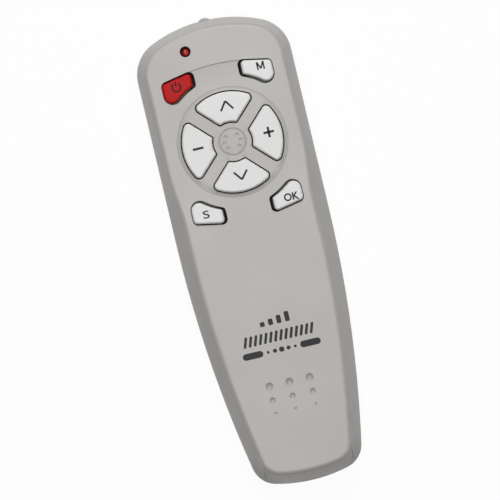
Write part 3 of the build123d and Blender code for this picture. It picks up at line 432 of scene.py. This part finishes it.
print("shell paint now has", len(finishes["shell_grey"].node_tree.nodes), "nodes")

# %% [markdown]
# Most of the pieces lie inside the case: board, chips, cells, springs and screws. Their CAD shapes
# are good as they are, so each keeps its shape and place. A finish could be chosen for each by
# hand, but the record already says which slot a piece has, so one loop does them all. What shows
# from outside is reshaped further down, and takes the same finish there.

# %% Dress the CAD pieces
slots = {part["node"]: part["material_slot"] for part in frame["record"]["subparts"]}


def dress(piece, material):
    """Give a piece one material all over."""
    piece.data.materials.clear()
    piece.data.materials.append(material)


for node, piece in frame["nodes"].items():
    if piece.material_slots:
        for place in piece.material_slots:
            place.material = finishes[slots[node]]
    else:
        piece.data.materials.append(finishes[slots[node]])
print("dressed", len(frame["nodes"]), "CAD pieces")

# %% [markdown]
# CAD edges are knife sharp, but a mould leaves a radius of a tenth of a millimetre or more, and
# that radius is what catches the light. A bevel can make it, but not on a CAD mesh, which is a heap
# of loose triangles. So a copy of the piece is welded first, and its flat triangles are joined into
# whole faces. The top of the key pad has too many holes to be one whole face, so it keeps its
# triangles. Then each sharp edge gets a bevel weight in code. The rims of the tiny grip dimples get
# none, because a radius doesn't fit there, and are marked sharp instead.

# %% Weld a copy and weigh its edges
WELD = 0.0005 * MM
FLAT_TURN = 0.25
SHARP_TURN = 27
LEVEL = 0.9999


def within(box, place):
    """Whether a point lies in a box. There may be no box."""
    return bool(box) and all(low < at < high for low, at, high in zip(box[0], place, box[1]))


def welded(node, triangles=None):
    """A welded copy of a CAD piece with whole flat faces, but for the triangles in a box."""
    mesh = frame["nodes"][node].data.copy()
    piece = bpy.data.objects.new(node + "_rounded", mesh)
    bpy.context.scene.collection.objects.link(piece)
    pick(piece)
    bpy.ops.object.mode_set(mode="EDIT")
    bpy.ops.mesh.select_all(action="SELECT")
    bpy.ops.mesh.remove_doubles(threshold=WELD)
    bpy.ops.mesh.select_mode(type="FACE")
    bpy.ops.mesh.select_all(action="DESELECT")
    bpy.ops.object.mode_set(mode="OBJECT")
    for face in piece.data.polygons:
        face.select = not within(triangles, face.center)
    bpy.ops.object.mode_set(mode="EDIT")
    bpy.ops.mesh.dissolve_limited(angle_limit=radians(FLAT_TURN))
    bpy.ops.mesh.select_mode(type="VERT")
    bpy.ops.object.mode_set(mode="OBJECT")
    return piece


def weigh_edges(mesh, spared):
    """Give the sharp edges a bevel weight. Rims of level faces in a spared box are marked sharp."""
    work = bmesh.new()
    work.from_mesh(mesh)
    weight = work.edges.layers.float.new("bevel_weight_edge")
    for edge in work.edges:
        turn = edge.calc_face_angle(0.0)
        if within(spared, (edge.verts[0].co + edge.verts[1].co) / 2):
            level = any(face.normal.z > LEVEL for face in edge.link_faces)
            edge.smooth = not (level and turn > radians(FLAT_TURN))
        elif turn > radians(SHARP_TURN):
            edge[weight] = 1.0
    work.to_mesh(mesh)
    work.free()


print("edges that turn more than", SHARP_TURN, "degrees get a radius")

# %% [markdown]
# The bevel then takes the weights. Sliding along neighbouring edges is switched off, so that the
# radius stays even where a long flat edge meets a rim. At the end the wide faces outweigh the
# narrow radius in the normals, and look flat. The copy rides on the body of the piece that it
# replaces.

# %% Round the copy and put it in the piece's stead
def stand_in(piece, node, body):
    """Give a reshaped copy its node's finish, and let it ride on a body in the node's stead."""
    bpy.ops.object.shade_smooth_by_angle(angle=radians(SHARP_TURN))
    weigh = piece.modifiers.new("wide faces stay flat", "WEIGHTED_NORMAL")
    weigh.keep_sharp = True
    bpy.ops.object.modifier_apply(modifier=weigh.name)
    dress(piece, finishes[slots[node]])
    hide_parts(node)
    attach(piece, body)
    return piece


def rounded(node, body, width, segments, spared=None, triangles=None, reshape=None):
    """A copy of a CAD piece with its sharp edges rounded, riding on a body in its stead."""
    piece = welded(node, triangles)
    if reshape:
        reshape(piece.data)
    weigh_edges(piece.data, spared)
    bevel = piece.modifiers.new("mould radius", "BEVEL")
    bevel.limit_method = "WEIGHT"
    bevel.width = width
    bevel.segments = segments
    bevel.use_clamp_overlap = False
    bevel.loop_slide = False
    bpy.ops.object.modifier_apply(modifier=bevel.name)
    return stand_in(piece, node, body)


print("rounding ready")

# %% [markdown]
# The flat of the face reaches up to a millimetre and a half further out than in the CAD piece, most
# of all near the tail. Moving whole edges would drag the dimples along, so the faces of the sloping
# border are found by their tilt and place instead. Their points move outwards, not at all at the
# foot of the slope and fully at the top, so the outline stays.

# %% Widen the flat of the face
SLOPE_TILT, SLOPE_DEPTH = (0.3, 0.9999), 8 * MM
WIDEN_SIDES, WIDEN_HEAD, WIDEN_TAIL = (0.55 * MM, 1.5 * MM), 0.2 * MM, 0.85 * MM
WIDEN_FROM_Y, WIDEN_TO_Y = 25 * MM, -65 * MM


def on_slope(face):
    """Whether a face belongs to the sloping border, not to the key pad, sunken band or dimples."""
    middle = face.calc_center_median()
    in_pad = Vector((middle.x, middle.y - pad_y)).length < PAD_RADIUS + PAD_SLOPE
    in_dips = abs(middle.x) < SUNKEN_REACH and SUNKEN_ENDS[0] < middle.y < SUNKEN_ENDS[1]
    tilted = SLOPE_TILT[0] < face.normal.z < SLOPE_TILT[1]
    return tilted and middle.z > face_z - SLOPE_DEPTH and not in_pad and not in_dips


def widen_face(mesh):
    """Move the points of the sloping border outwards, the more the higher they lie."""
    work = bmesh.new()
    work.from_mesh(mesh)
    ways = {}
    for face in filter(on_slope, work.faces):
        for vertex in face.verts:
            ways[vertex] = ways.get(vertex, Vector((0, 0, 0))) + face.normal * face.calc_area()
    foot = min(vertex.co.z for vertex in ways)
    for vertex, way in ways.items():
        way = Vector((way.x, way.y, 0)).normalized()
        rise = (vertex.co.z - foot) / (face_z - foot)
        toward_tail = (WIDEN_FROM_Y - vertex.co.y) / (WIDEN_FROM_Y - WIDEN_TO_Y)
        toward_tail = min(max(toward_tail, 0.0), 1.0)
        side = WIDEN_SIDES[0] + (WIDEN_SIDES[1] - WIDEN_SIDES[0]) * toward_tail
        vertex.co.x += way.x * side * rise
        vertex.co.y += way.y * (WIDEN_TAIL if way.y < 0 else WIDEN_HEAD) * rise
    work.normal_update()
    work.to_mesh(mesh)
    work.free()
    print("border points moved:", len(ways), "foot of the slope at", round(foot / MM, 2), "mm")


print("the border widens by up to", round(WIDEN_SIDES[1] / MM, 2), "mm a side")

# %% [markdown]
# A corner key doesn't sit quite in the middle of its hole: a dark gap shows on the side towards the
# middle of the case. The cap could be moved as a whole, but that would narrow the gap on its far
# side. So it is drawn in a little on the near side, and its far side keeps its place.

# %% Draw in the corner keys
GAP_ACROSS, GAP_ALONG = 0.3 * MM, 0.15 * MM
GAP_SIDES = {"power": (1, 1), "mode": (-1, -1), "set": (1, 1), "ok": (-1, 1)}


def drawn_in(key):
    """How to reshape a key: its inner sides move in, shared out over its width and length."""
    low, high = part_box(f"{key}_key")
    across, along = GAP_SIDES[key]
    still_x, still_y = (low[0] if across > 0 else high[0]), (low[1] if along > 0 else high[1])
    share_x = 1 - GAP_ACROSS / (high[0] - low[0])
    share_y = 1 - GAP_ALONG / (high[1] - low[1])

    def reshape(mesh):
        for vertex in mesh.vertices:
            if vertex.co.z > face_z:
                vertex.co.x = still_x + (vertex.co.x - still_x) * share_x
                vertex.co.y = still_y + (vertex.co.y - still_y) * share_y

    return reshape


print("keys to draw in:", ", ".join(GAP_SIDES))

# %% [markdown]
# The two case halves and the battery door are stiff plastic with small radii. The keys are rubber,
# so their top edges are rounder. The lamps are cast resin with a soft rim. One radius for all would
# be less to write, but the rounder rim is what tells rubber from plastic, so each kind has its own,
# and more segments where the eye comes near.

# %% Shells, keys and lamps
SHELL_EDGE, SHELL_SEGMENTS = 0.1 * MM, 2
KEY_EDGE, KEY_SEGMENTS = 0.14 * MM, 4
LAMP_EDGE, LAMP_SEGMENTS = 0.1 * MM, 3
KEYS = ["power", "mode", "set", "ok", "up", "minus", "down", "plus"]
LAMPS = ["indicator_lamp", "infrared_emitter"]
GRIP_REACH, GRIP_ENDS = 9 * MM, (-54 * MM, -41 * MM)
BOX_MARGIN = 1.0 * MM

grip_box = (
    (-GRIP_REACH, GRIP_ENDS[0], face_z - BOX_MARGIN),
    (GRIP_REACH, GRIP_ENDS[1], face_z + BOX_MARGIN),
)
pad_reach = PAD_RADIUS + BOX_MARGIN
pad_box = (
    (-pad_reach, pad_y - pad_reach, face_z + PAD_RISE / 2),
    (pad_reach, pad_y + pad_reach, face_z + BOX_MARGIN),
)
case = [
    rounded("front_shell", "housing", SHELL_EDGE, SHELL_SEGMENTS, grip_box, pad_box, widen_face),
    rounded("rear_cover", "housing", SHELL_EDGE, SHELL_SEGMENTS),
    rounded("battery_door", "door", SHELL_EDGE, SHELL_SEGMENTS),
]
caps = [
    rounded(f"{key}_key", f"{key}_button", KEY_EDGE, KEY_SEGMENTS,
            reshape=drawn_in(key) if key in GAP_SIDES else None)
    for key in KEYS
]
lamps = [rounded(node, "housing", LAMP_EDGE, LAMP_SEGMENTS) for node in LAMPS]
for piece in case + caps + lamps:
    print(piece.name, len(piece.data.polygons), "faces")

# %% [markdown]
# A thin rubber wall under each key carries it and folds when it is pressed. Its welded copy rides
# on the case in the CAD piece's stead, with a mesh of its own.

# %% Rubber walls under the keys
for key in KEYS:
    wall = stand_in(welded(f"{key}_web"), f"{key}_web", "housing")
    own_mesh(wall)

# %% [markdown]
# The signs on the keys are printed, so they stand only a few hundredths of a millimetre proud. They
# could be painted in the material, but ink has an edge of its own, and a mesh keeps it sharp from
# near. Each sign is drawn flat, and a Solidify modifier gives the ink its thickness.

# %% Ink
INK = 0.03 * MM
INK_FINISH = {"drift": 0.15, "grain": 2500.0}
ink_dark = finish("dark ink", (0.02, 0.019, 0.021), 0.6, Specular_IOR_Level=0.25, **INK_FINISH)
ink_brown = finish("dark ink on red", (0.03, 0.004, 0.004), 0.6, Specular_IOR_Level=0.15,
                   **INK_FINISH)


def inked(piece, material, body, name):
    """Give a flat drawing its thickness and finish, and let it ride on a body."""
    pick(piece)
    thick = piece.modifiers.new("ink", "SOLIDIFY")
    thick.thickness = INK
    thick.offset = 1.0
    bpy.ops.object.modifier_apply(modifier=thick.name)
    piece.name = name
    dress(piece, material)
    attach(piece, body)
    print(name, len(piece.data.polygons), "faces")


print("ink stands", round(INK / MM, 2), "mm proud")

# %% [markdown]
# The signs are made of straight strokes and rings. Curves could draw them, but would have to be
# made meshes afterwards, so they are meshes from the start. A bar is a plane, stretched between two
# points and rounded at its corners. A ring is a filled circle whose inside is inset and deleted.

# %% Bars and rings
SOFT_CORNER, FULL_ROUND = 0.25, 0.499
CORNER_SEGMENTS, RING_CORNERS = 6, 64


def joined(pieces):
    """Several flat drawings as one."""
    pick(*pieces)
    if len(pieces) > 1:
        bpy.ops.object.join()
    return bpy.context.object


def bar(start, end, width, z, rounding=SOFT_CORNER):
    """A flat bar from start to end, whose corners are rounded by a share of its width."""
    start, end = Vector(start), Vector(end)
    middle, way = (start + end) / 2, end - start
    bpy.ops.object.select_all(action="DESELECT")
    bpy.ops.mesh.primitive_plane_add(
        size=1, location=(middle.x, middle.y, z), rotation=(0, 0, atan2(way.y, way.x))
    )
    piece = bpy.context.object
    piece.scale = (way.length, width, 1)
    bpy.ops.object.transform_apply(location=True, rotation=True, scale=True)
    bpy.ops.object.mode_set(mode="EDIT")
    bpy.ops.mesh.select_all(action="SELECT")
    bpy.ops.mesh.bevel(offset=rounding * width, segments=CORNER_SEGMENTS, affect="VERTICES")
    bpy.ops.object.mode_set(mode="OBJECT")
    return piece


def ring(middle, radius, width, z):
    """A flat ring."""
    bpy.ops.object.select_all(action="DESELECT")
    bpy.ops.mesh.primitive_circle_add(
        vertices=RING_CORNERS, radius=radius, fill_type="NGON", location=(middle[0], middle[1], z)
    )
    piece = bpy.context.object
    bpy.ops.object.transform_apply(location=True, rotation=True, scale=True)
    bpy.ops.object.mode_set(mode="EDIT")
    bpy.ops.mesh.select_all(action="SELECT")
    bpy.ops.mesh.inset(thickness=width, depth=0)
    bpy.ops.mesh.delete(type="FACE")
    bpy.ops.object.mode_set(mode="OBJECT")
    return piece


print("bars and rings ready")

# %% [markdown]
# Round letters would take many bars, so they come from Blender's own typeface. The text is made a
# mesh, measured, and stretched to the width and height that the printed letter has.

# %% Letters
def letters(text, middle, width, height, z, weight):
    """Flat letters of a given width and height about a middle point, thickened by a weight."""
    bpy.ops.object.select_all(action="DESELECT")
    bpy.ops.object.text_add(location=(0, 0, 0))
    piece = bpy.context.object
    piece.data.body = text
    piece.data.offset = weight
    bpy.ops.object.convert(target="MESH")
    piece = bpy.context.object
    xs = [vertex.co.x for vertex in piece.data.vertices]
    ys = [vertex.co.y for vertex in piece.data.vertices]
    across, along = width / (max(xs) - min(xs)), height / (max(ys) - min(ys))
    piece.scale = (across, along, 1)
    piece.location = (
        middle[0] - across * (max(xs) + min(xs)) / 2,
        middle[1] - along * (max(ys) + min(ys)) / 2,
        z,
    )
    bpy.ops.object.transform_apply(location=True, rotation=True, scale=True)
    return piece


print("letters ready")

# %% [markdown]
# The corner keys carry a power sign and plain letters, the ring keys carry arrows, a minus and a
# plus. Their places are measured in millimetres from the middle of the key pad. The power sign is a
# ring that is cut open at its top, with a bar in the gap.

# %% Signs on the keys
ARROW_STROKE, BOLD_STROKE, LETTER_STROKE = 0.64 * MM, 0.74 * MM, 0.48 * MM
POWER_MIDDLE, POWER_RADIUS, POWER_STROKE = (-13.3, 20.8), 1.6 * MM, 0.5 * MM
POWER_GAP = 0.75 * MM
POWER_BAR = [(-13.3, 21.1), (-13.3, 22.6)]
M_SIGN = [(13.1, 20.1), (13.1, 22.7), (14.1, 20.5), (15.1, 22.7), (15.1, 20.1)]
S_MIDDLE, S_WIDTH, S_WEIGHT = (-13.4, -20.4), 2.0 * MM, 0.012
OK_MIDDLE, OK_WIDTH, OK_WEIGHT = (14.1, -21.0), 4.8 * MM, 0.028
LETTER_HEIGHT = 2.5 * MM
UP_SIGN = [(-1.35, 10.2), (0.65, 13.1), (2.7, 10.2)]
DOWN_SIGN = [(-1.9, -9.5), (0.2, -12.2), (2.4, -9.5)]
MINUS_SIGN = [(-12.8, 0.4), (-9.35, 0.4)]
PLUS_ACROSS, PLUS_ALONG = [(10.1, 0.4), (13.5, 0.4)], [(11.8, -1.3), (11.8, 2.1)]


def on_pad(x, y):
    """A point of the face, given in millimetres from the middle of the key pad."""
    return (x * MM, pad_y + y * MM)


def top_of(key):
    """The height of a key's top."""
    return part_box(f"{key}_key")[1][2]


def drawn(key, points, width):
    """Bars on a key's top from each point to the next."""
    places = [on_pad(*point) for point in points]
    return [bar(start, end, width, top_of(key)) for start, end in zip(places, places[1:])]


def cut_open(piece, middle, half_gap):
    """Delete the faces of a ring that lie above its middle and near its middle line."""
    for part in (*piece.data.edges, *piece.data.vertices):
        part.select = False
    for face in piece.data.polygons:
        face.select = abs(face.center.x - middle[0]) < half_gap and face.center.y > middle[1]
    pick(piece)
    bpy.ops.object.mode_set(mode="EDIT")
    bpy.ops.mesh.select_mode(type="FACE")
    bpy.ops.mesh.delete(type="FACE")
    bpy.ops.mesh.select_mode(type="VERT")
    bpy.ops.object.mode_set(mode="OBJECT")


def sign(key, pieces, material=ink_dark):
    """Join a key's drawings into one printed sign."""
    inked(joined(pieces), material, f"{key}_button", f"{key}_sign")


power_ring = ring(on_pad(*POWER_MIDDLE), POWER_RADIUS, POWER_STROKE, top_of("power"))
cut_open(power_ring, on_pad(*POWER_MIDDLE), POWER_GAP)
sign("power", [power_ring, *drawn("power", POWER_BAR, POWER_STROKE)], ink_brown)
sign("mode", drawn("mode", M_SIGN, LETTER_STROKE))
sign("set", [letters("S", on_pad(*S_MIDDLE), S_WIDTH, LETTER_HEIGHT, top_of("set"), S_WEIGHT)])
sign("ok", [letters("OK", on_pad(*OK_MIDDLE), OK_WIDTH, LETTER_HEIGHT, top_of("ok"), OK_WEIGHT)])
sign("up", drawn("up", UP_SIGN, ARROW_STROKE))
sign("down", drawn("down", DOWN_SIGN, ARROW_STROKE))
sign("minus", drawn("minus", MINUS_SIGN, BOLD_STROKE))
sign("plus", drawn("plus", PLUS_ACROSS, BOLD_STROKE) + drawn("plus", PLUS_ALONG, BOLD_STROKE))

# %% [markdown]
# Below the pad the case carries a dark print. Here it is a plain design of the same tone and size:
# four rising bars, a band of slanting strokes, and a row of discs between two capsules. It names
# nothing. All of it is bars again: a capsule is a bar that is rounded to the full, and a disc is a
# capsule as long as it is wide.

# %% Print on the case
RISING_XS, RISING_HEIGHTS = [-4.2, -1.5, 1.2, 3.9], [1.5, 2.0, 2.6, 3.2]
RISING_LOW_Y, RISING_WIDTH = -59.0, 1.5
SLANT_COUNT, SLANT_PITCH, SLANT_LEAN, SLANT_WIDTH = 14, 1.65, 1.1, 0.85
SLANT_YS = (-64.4, -61.1)
CAPSULE_LENGTH, CAPSULE_WIDTH, ROW_Y, ROW_REACH = 6.6, 2.1, -67.2, 12.6
DISC_SIZES, DISC_PITCH = [0.9, 1.3, 1.7, 1.3, 0.9], 2.2


def printed(start, end, width, rounding=SOFT_CORNER):
    """A printed bar on the face, in millimetres from the middle of the key pad."""
    return bar(on_pad(*start), on_pad(*end), width * MM, face_z, rounding)


prints = [
    printed((x, RISING_LOW_Y), (x, RISING_LOW_Y + height), RISING_WIDTH)
    for x, height in zip(RISING_XS, RISING_HEIGHTS)
]
for number in range(SLANT_COUNT):
    x = (number - (SLANT_COUNT - 1) / 2) * SLANT_PITCH
    foot, head = (x - SLANT_LEAN / 2, SLANT_YS[0]), (x + SLANT_LEAN / 2, SLANT_YS[1])
    prints.append(printed(foot, head, SLANT_WIDTH))
for side in (-1, 1):
    outer, inner = (side * ROW_REACH, ROW_Y), (side * (ROW_REACH - CAPSULE_LENGTH), ROW_Y)
    prints.append(printed(outer, inner, CAPSULE_WIDTH, FULL_ROUND))
for number, size in enumerate(DISC_SIZES):
    x = (number - (len(DISC_SIZES) - 1) / 2) * DISC_PITCH
    prints.append(printed((x - size / 2, ROW_Y), (x + size / 2, ROW_Y), size, FULL_ROUND))
inked(joined(prints), ink_dark, "housing", "case_print")

# %% [markdown]
# The remote lies on a plain pale floor. More light would make the floor white, but would bleach the
# remote as well. So the floor glows instead, only to the camera, to gloss and through resin, and a
# little less than fully, so that the shadow of the remote still shows on it. To everything else it
# is an ordinary white surface.

# %% Floor
FLOOR_SIZE, FLOOR_DROP, FLOOR_GLOW = 6.0, 0.2 * MM, 0.95
FLOOR_COLOUR, FLOOR_ROUGH = (0.88, 0.88, 0.88), 0.7
SEEN_RAYS = ("Is Camera Ray", "Is Glossy Ray", "Is Transmission Ray")


def seen(tree):
    """A value that is 1 where the camera sees a surface, by itself, in gloss or through resin."""
    rays = tree.nodes.new("ShaderNodeLightPath")
    value = rays.outputs[SEEN_RAYS[0]]
    for name in SEEN_RAYS[1:]:
        value = maths(tree, "MAXIMUM", value, rays.outputs[name])
    return value


bpy.ops.object.select_all(action="DESELECT")
bpy.ops.mesh.primitive_plane_add(size=FLOOR_SIZE, location=(0, 0, -FLOOR_DROP))
floor = bpy.context.object
floor.name = "floor"
floor_paint = bpy.data.materials.new("floor")
floor_paint.use_nodes = True
tree = floor_paint.node_tree
floor_shader = tree.nodes["Principled BSDF"]
floor_shader.inputs["Base Color"].default_value = (*FLOOR_COLOUR, 1)
floor_shader.inputs["Roughness"].default_value = FLOOR_ROUGH
glow = tree.nodes.new("ShaderNodeEmission")
both = tree.nodes.new("ShaderNodeMixShader")
tree.links.new(maths(tree, "MULTIPLY", seen(tree), FLOOR_GLOW), both.inputs[0])
tree.links.new(floor_shader.outputs[0], both.inputs[1])
tree.links.new(glow.outputs[0], both.inputs[2])
tree.links.new(both.outputs[0], tree.nodes["Material Output"].inputs["Surface"])
dress(floor, floor_paint)
floor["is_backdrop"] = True
print("floor", floor.dimensions.x, "m wide")

# %% [markdown]
# The picture is lit from above and from the head end: the face is bright, the sloping border is
# darker, and darkest at the tail. Small lamps would leave hard spots on the satin paint, so both
# are large: one hangs overhead and one beyond the head, a little to the right. A faint even sky
# keeps the shadows open. Seen by itself the sky is white.

# %% Light
SKY = 0.03
HEAD_LAMP = {"distance": 1.2, "height_angle": 50, "size": 0.7, "power": 8.3, "aside": 10}
OVERHEAD_LAMP = {"distance": 2.0, "height_angle": 86, "size": 1.0, "power": 16.8, "aside": 0}

world = bpy.data.worlds.new("studio sky")
bpy.context.scene.world = world
world.use_nodes = True
tree = world.node_tree
level = stretched(tree, seen(tree), {"To Min": SKY, "To Max": 1.0})
tree.links.new(level, tree.nodes["Background"].inputs["Strength"])
tree.nodes["Background"].inputs["Color"].default_value = (1, 1, 1, 1)


def soft_lamp(name, distance, height_angle, size, power, aside):
    """A square lamp on the head's side, as high and as far to the right as the angles say."""
    turn, right = radians(height_angle), radians(aside)
    out = distance * cos(turn)
    bpy.ops.object.select_all(action="DESELECT")
    bpy.ops.object.light_add(
        type="AREA", rotation=(turn - pi / 2, 0, -right),
        location=(out * sin(right), out * cos(right), distance * sin(turn)),
    )
    made = bpy.context.object
    made.name = name
    made.data.size = size
    made.data.energy = power
    print(name, round(power, 1), "W")


soft_lamp("head end lamp", **HEAD_LAMP)
soft_lamp("overhead lamp", **OVERHEAD_LAMP)

# %% [markdown]
# The photograph looks straight down from far away, with almost no perspective, and the remote leans
# a little to the left. An orthographic camera has no perspective at all, but a real lens always has
# a little, so a very long lens six metres above the face gives that view.

# %% Camera
LEAN = 13.35
PIXELS, PIXELS_PER_MM = 500, 3.169
CAMERA_MIDDLE = (-2.53, 0.24)
CAMERA_DISTANCE = 6.0
SENSOR = 36.0

bpy.ops.object.select_all(action="DESELECT")
bpy.ops.object.camera_add(
    location=(CAMERA_MIDDLE[0] * MM, CAMERA_MIDDLE[1] * MM, face_z + CAMERA_DISTANCE),
    rotation=(0, 0, -radians(LEAN)),
)
camera = bpy.context.object
camera.data.sensor_width = SENSOR
camera.data.lens = SENSOR * CAMERA_DISTANCE / (PIXELS / PIXELS_PER_MM * MM)
bpy.context.scene.camera = camera
bpy.context.scene.view_settings.view_transform = "Standard"
print("lens", round(camera.data.lens, 1), "mm")

# %% [markdown]
# Rounding an edge takes a little off and ink adds a little. The dressed remote still has to stay
# the size of the CAD model, so both boxes are written down and can be compared.

# %% Print both sizes and finish
dressed_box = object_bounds()
for name, box in (("CAD", cad_box), ("dressed", dressed_box)):
    print(name, [round(float(high - low) / MM, 2) for low, high in zip(*box)], "mm")
